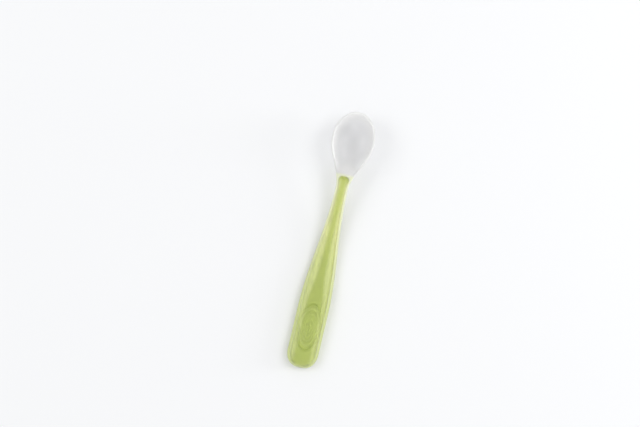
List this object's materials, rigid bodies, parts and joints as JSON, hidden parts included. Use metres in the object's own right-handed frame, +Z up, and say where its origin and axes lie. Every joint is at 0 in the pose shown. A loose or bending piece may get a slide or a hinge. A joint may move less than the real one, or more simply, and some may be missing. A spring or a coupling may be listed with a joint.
{
  "type": "baby spoon",
  "caption": "Soft feeding spoon: a stiff green core moulded into clear silicone, with a hollow bowl held off the table by a rising neck.",
  "frame": {"origin": "middle of the spoon's length and width, on the surface that it lies on", "axes": "+X from the tail of the handle to the tip of the bowl, +Y across, +Z up out of the bowl's hollow"},
  "size_m": [0.163, 0.0268, 0.0184],
  "materials": {
    "core_plastic": "moulded, satin, yellow-green",
    "clear_silicone": "soft translucent silicone, satin"
  },
  "bodies": {
    "root": {"handle_core": "core_plastic", "silicone_cover": "clear_silicone"}
  },
  "joints": []
}
